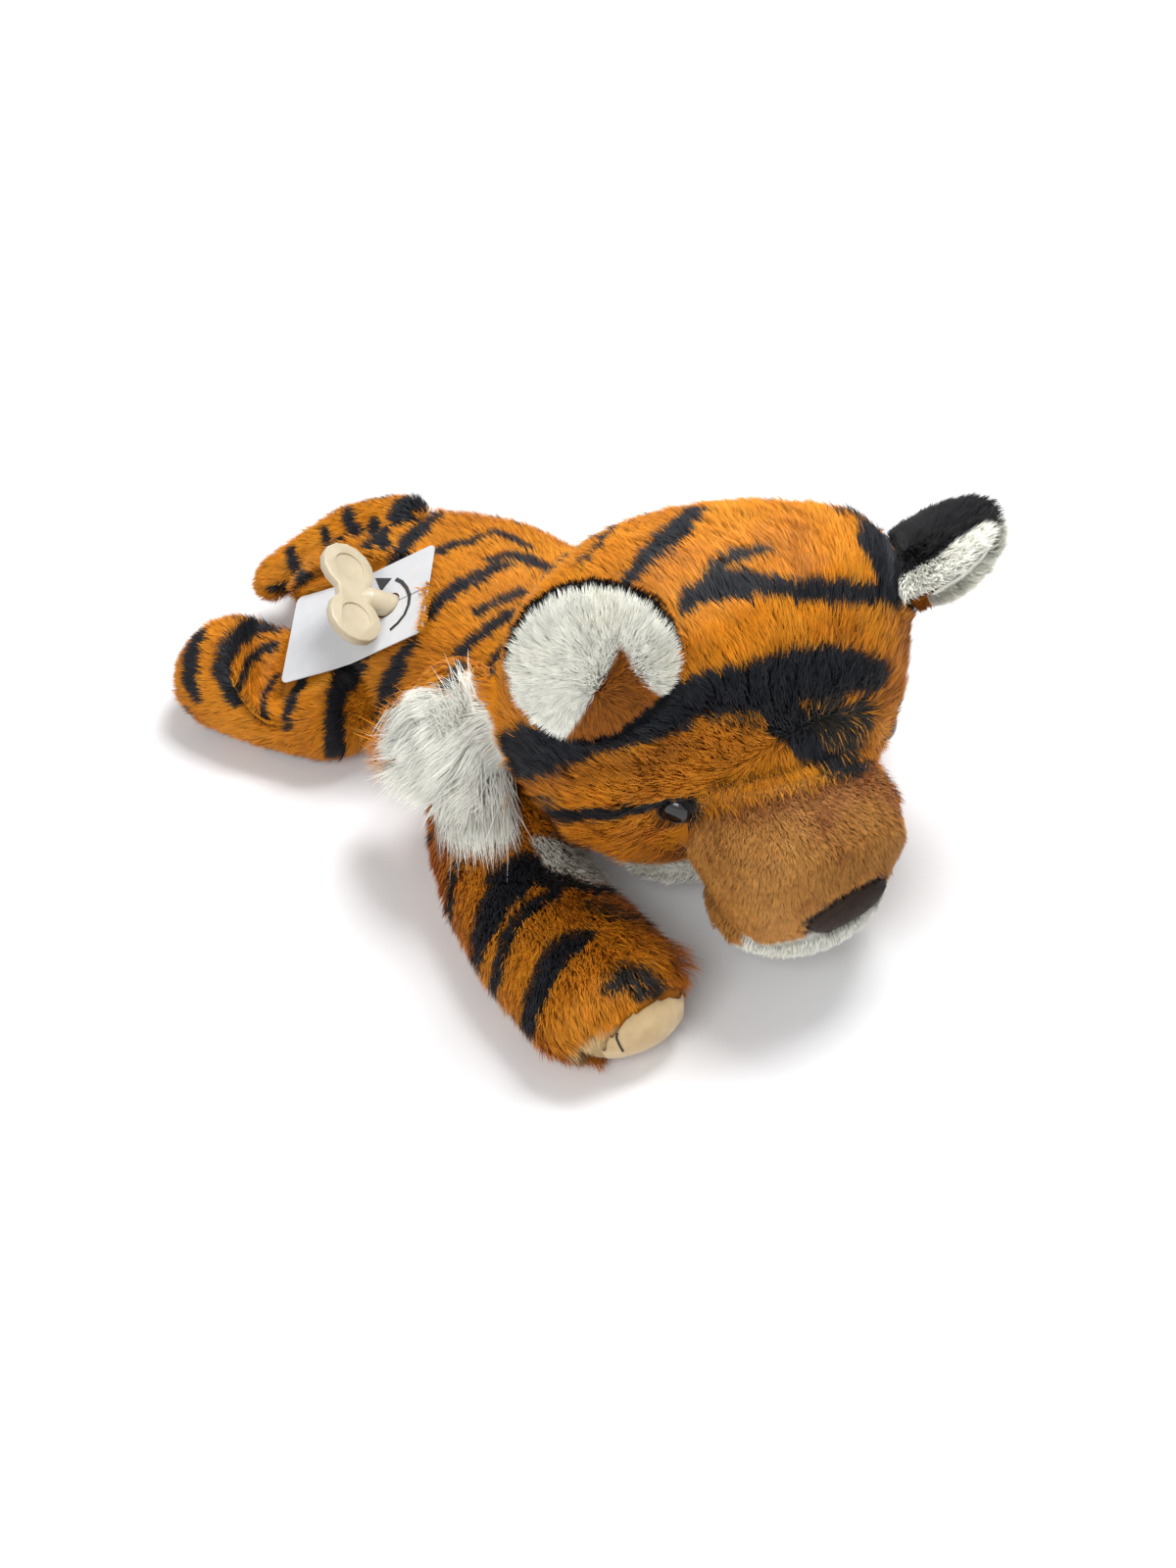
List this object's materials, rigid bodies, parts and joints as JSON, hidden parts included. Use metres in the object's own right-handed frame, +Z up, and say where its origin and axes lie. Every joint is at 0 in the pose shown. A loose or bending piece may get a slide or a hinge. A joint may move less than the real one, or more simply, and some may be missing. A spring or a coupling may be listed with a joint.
{
  "type": "wind-up plush tiger",
  "caption": "Striped plush tiger lying on its belly, head forward over its forelegs, with a wind-up music movement in its back and a cream butterfly key through a bare card.",
  "frame": {"origin": "on the floor under the belly", "axes": "+X forward along the chest, +Y to the tiger's left, +Z up"},
  "size_m": [0.343, 0.2419, 0.1805],
  "materials": {
    "orange_plush": "long soft pile, orange with black stripes",
    "white_plush": "white pile",
    "brown_plush": "short brown pile",
    "black_plush": "black pile",
    "nose_velour": "dark brown velour",
    "suede": "tan suede cloth",
    "eye_plastic": "glossy black",
    "washer_plastic": "matt natural",
    "cream_plastic": "satin cream",
    "card": "satin white",
    "case_plastic": "matt white",
    "brass": "plain",
    "steel": "plain"
  },
  "bodies": {
    "torso_body": {"torso": "orange_plush", "case_cup": "case_plastic", "case_lid": "case_plastic", "bedplate": "steel", "spring_housing": "brass", "mainspring": "steel", "near_bracket": "brass", "far_bracket": "brass", "comb": "steel", "comb_block": "brass", "winding_card": "card"},
    "head_body": {"head": "orange_plush", "muzzle": "brown_plush", "chin_lip": "white_plush", "throat_panel": "white_plush", "nose": "nose_velour", "ear_back_right": "black_plush", "ear_back_left": "black_plush", "ear_lining_right": "white_plush", "ear_lining_left": "white_plush", "cheek_ruff_right": "white_plush", "cheek_ruff_left": "white_plush", "eye_right": "eye_plastic", "eye_left": "eye_plastic", "eye_washer_right": "washer_plastic", "eye_washer_left": "washer_plastic"},
    "foreleg_right_body": {"foreleg_right": "orange_plush", "paw_pad_right": "suede"},
    "foreleg_left_body": {"foreleg_left": "orange_plush", "paw_pad_left": "suede"},
    "hind_leg_right_body": {"hind_leg_right": "orange_plush"},
    "hind_leg_left_body": {"hind_leg_left": "orange_plush"},
    "tail_body": {"tail": "orange_plush"},
    "key_body": {"wind_key": "cream_plastic", "winding_arbor": "steel", "crown_wheel": "brass"},
    "cylinder_body": {"cylinder_pinion": "brass", "pinned_cylinder": "brass", "cylinder_gear": "brass"},
    "governor_body": {"governor_wheel": "brass"},
    "worm_body": {"governor_worm": "steel"}
  },
  "joints": [
    {"name": "head_lift", "type": "hinge", "parent": "torso_body", "child": "head_body", "pos_m": [0.084, 0.011, 0.062], "axis": [0.1908, 0.9816, 0], "range_deg": [-10, 0]},
    {"name": "foreleg_right_swing", "type": "hinge", "parent": "torso_body", "child": "foreleg_right_body", "pos_m": [0.05998, -0.039, 0], "axis": [0, 0, 1], "range_deg": [-16, 4]},
    {"name": "foreleg_left_swing", "type": "hinge", "parent": "torso_body", "child": "foreleg_left_body", "pos_m": [0.05998, 0.061, 0], "axis": [0, 0, 1], "range_deg": [0, 24]},
    {"name": "hind_leg_right_swing", "type": "hinge", "parent": "torso_body", "child": "hind_leg_right_body", "pos_m": [-0.02402, -0.059, 0], "axis": [0, 0, 1], "range_deg": [-12, 8]},
    {"name": "hind_leg_left_swing", "type": "hinge", "parent": "torso_body", "child": "hind_leg_left_body", "pos_m": [-0.05208, 0.02, 0], "axis": [0, 0, 1], "range_deg": [-10, 4]},
    {"name": "tail_swing", "type": "hinge", "parent": "torso_body", "child": "tail_body", "pos_m": [-0.06199, 0.01, 0.06006], "axis": [0, 0, 1], "range_deg": [-4, 14]},
    {"name": "key_turn", "type": "hinge", "parent": "torso_body", "child": "key_body", "pos_m": [-0.00278, -0.00677, 0.04993], "axis": [-0.3005, -0.7714, 0.561], "range_deg": [0, 1530], "stiffness_Nm_per_rad": 0.0006},
    {"name": "cylinder_spin", "type": "hinge", "parent": "torso_body", "child": "cylinder_body", "pos_m": [0.00206, 0.00564, 0.0409], "axis": [0.9538, -0.243, 0.1768], "range_deg": [-4590, 0]},
    {"name": "governor_spin", "type": "hinge", "parent": "torso_body", "child": "governor_body", "pos_m": [0.00206, 0.00059, 0.03394], "axis": [0.9538, -0.243, 0.1768], "range_deg": [0, 13770]},
    {"name": "worm_spin", "type": "hinge", "parent": "torso_body", "child": "worm_body", "pos_m": [0.02357, -0.00778, 0.03397], "axis": [-0.3005, -0.7714, 0.561], "range_deg": [0, 192780]}
  ],
  "couplings": [
    {"joint": "cylinder_spin", "follows": "key_turn", "ratio": -3},
    {"joint": "governor_spin", "follows": "key_turn", "ratio": 9},
    {"joint": "worm_spin", "follows": "key_turn", "ratio": 126}
  ]
}
